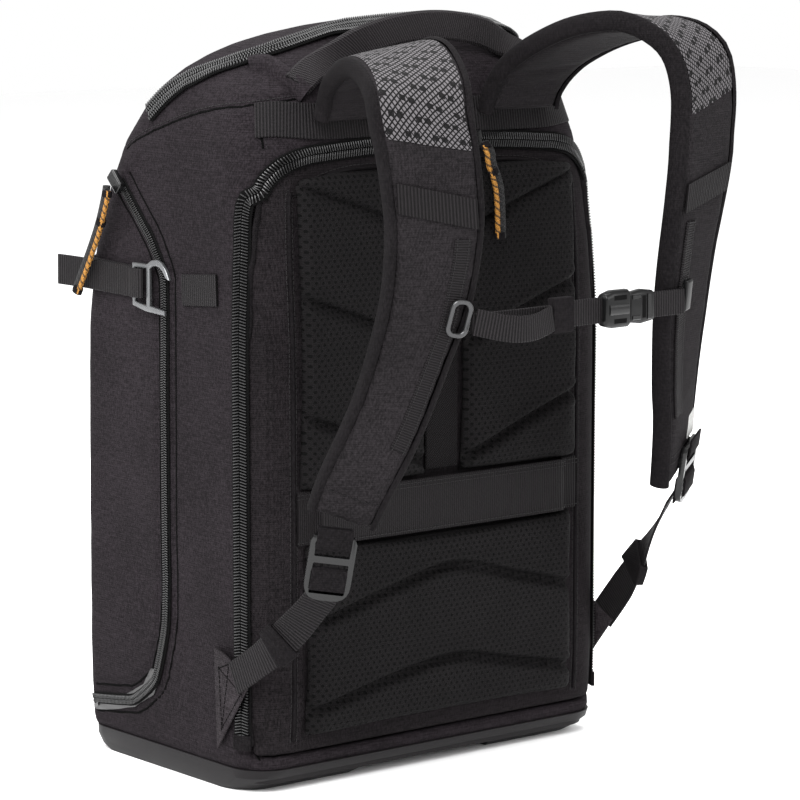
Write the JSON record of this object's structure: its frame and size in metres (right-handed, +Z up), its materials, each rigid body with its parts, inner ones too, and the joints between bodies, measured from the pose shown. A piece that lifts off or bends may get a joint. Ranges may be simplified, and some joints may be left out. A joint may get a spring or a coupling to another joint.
{
  "type": "camera backpack",
  "caption": "Padded camera backpack with a zipped harness-side door, shoulder straps, sternum strap, haul handle, side pocket zip, side compression strap and moulded base",
  "frame": {"origin": "centre of the bounding box's footprint, on the ground under the base rails", "axes": "+Z up, the harness with its shoulder straps faces -Y, the side pocket zip is at -X"},
  "size_m": [0.3368, 0.3686, 0.517],
  "materials": {
    "cloth": "matte woven polyester",
    "foam": "perforated foam faced with mesh",
    "twill": "diagonal ribbed twill",
    "webbing": "ribbed woven webbing",
    "moulded": "satin moulded base",
    "coil": "zip tape and coil",
    "plastic": "moulded black plastic",
    "metal": "brushed metal",
    "orange_cord": "braided cord",
    "tag_cloth": "plain cloth tag"
  },
  "bodies": {
    "root": {"base_tray": "moulded", "body_shell": "cloth", "harness_door": "cloth", "main_zip": "coil", "side_zip": "coil", "lid_zip": "coil", "back_pad_left": "foam", "back_pad_right": "foam", "back_pad_lower": "foam", "centre_channel": "twill", "luggage_band": "webbing", "top_yoke_webbing": "webbing", "haul_handle": "webbing", "shoulder_strap_left": "foam", "strap_cross_band_left": "webbing", "strap_rail_left": "webbing", "shoulder_strap_right": "foam", "strap_cross_band_right": "webbing", "strap_rail_right": "webbing", "ladder_lock_left": "plastic", "strap_end_webbing_left": "webbing", "lock_wrap_left": "webbing", "ladder_lock_right": "plastic", "strap_end_webbing_right": "webbing", "lock_wrap_right": "webbing", "wing_anchor_left": "cloth", "wing_anchor_right": "cloth", "lower_webbing_left": "webbing", "webbing_keeper_left": "webbing", "lower_webbing_right": "webbing", "webbing_keeper_right": "webbing", "sternum_ring": "metal", "sternum_slider": "plastic", "sternum_webbing_left": "webbing", "sternum_elastic": "webbing", "sternum_keeper": "webbing", "sternum_webbing_middle": "webbing", "sternum_buckle_socket": "plastic", "sternum_buckle_plug": "plastic", "sternum_webbing_right": "webbing", "compression_webbing": "webbing", "compression_tail": "webbing", "compression_loop": "webbing", "compression_hook": "metal", "side_zip_slider": "plastic", "side_zip_cord": "orange_cord", "main_zip_slider": "plastic", "main_zip_cord": "orange_cord", "strap_tag": "tag_cloth"}
  },
  "joints": []
}
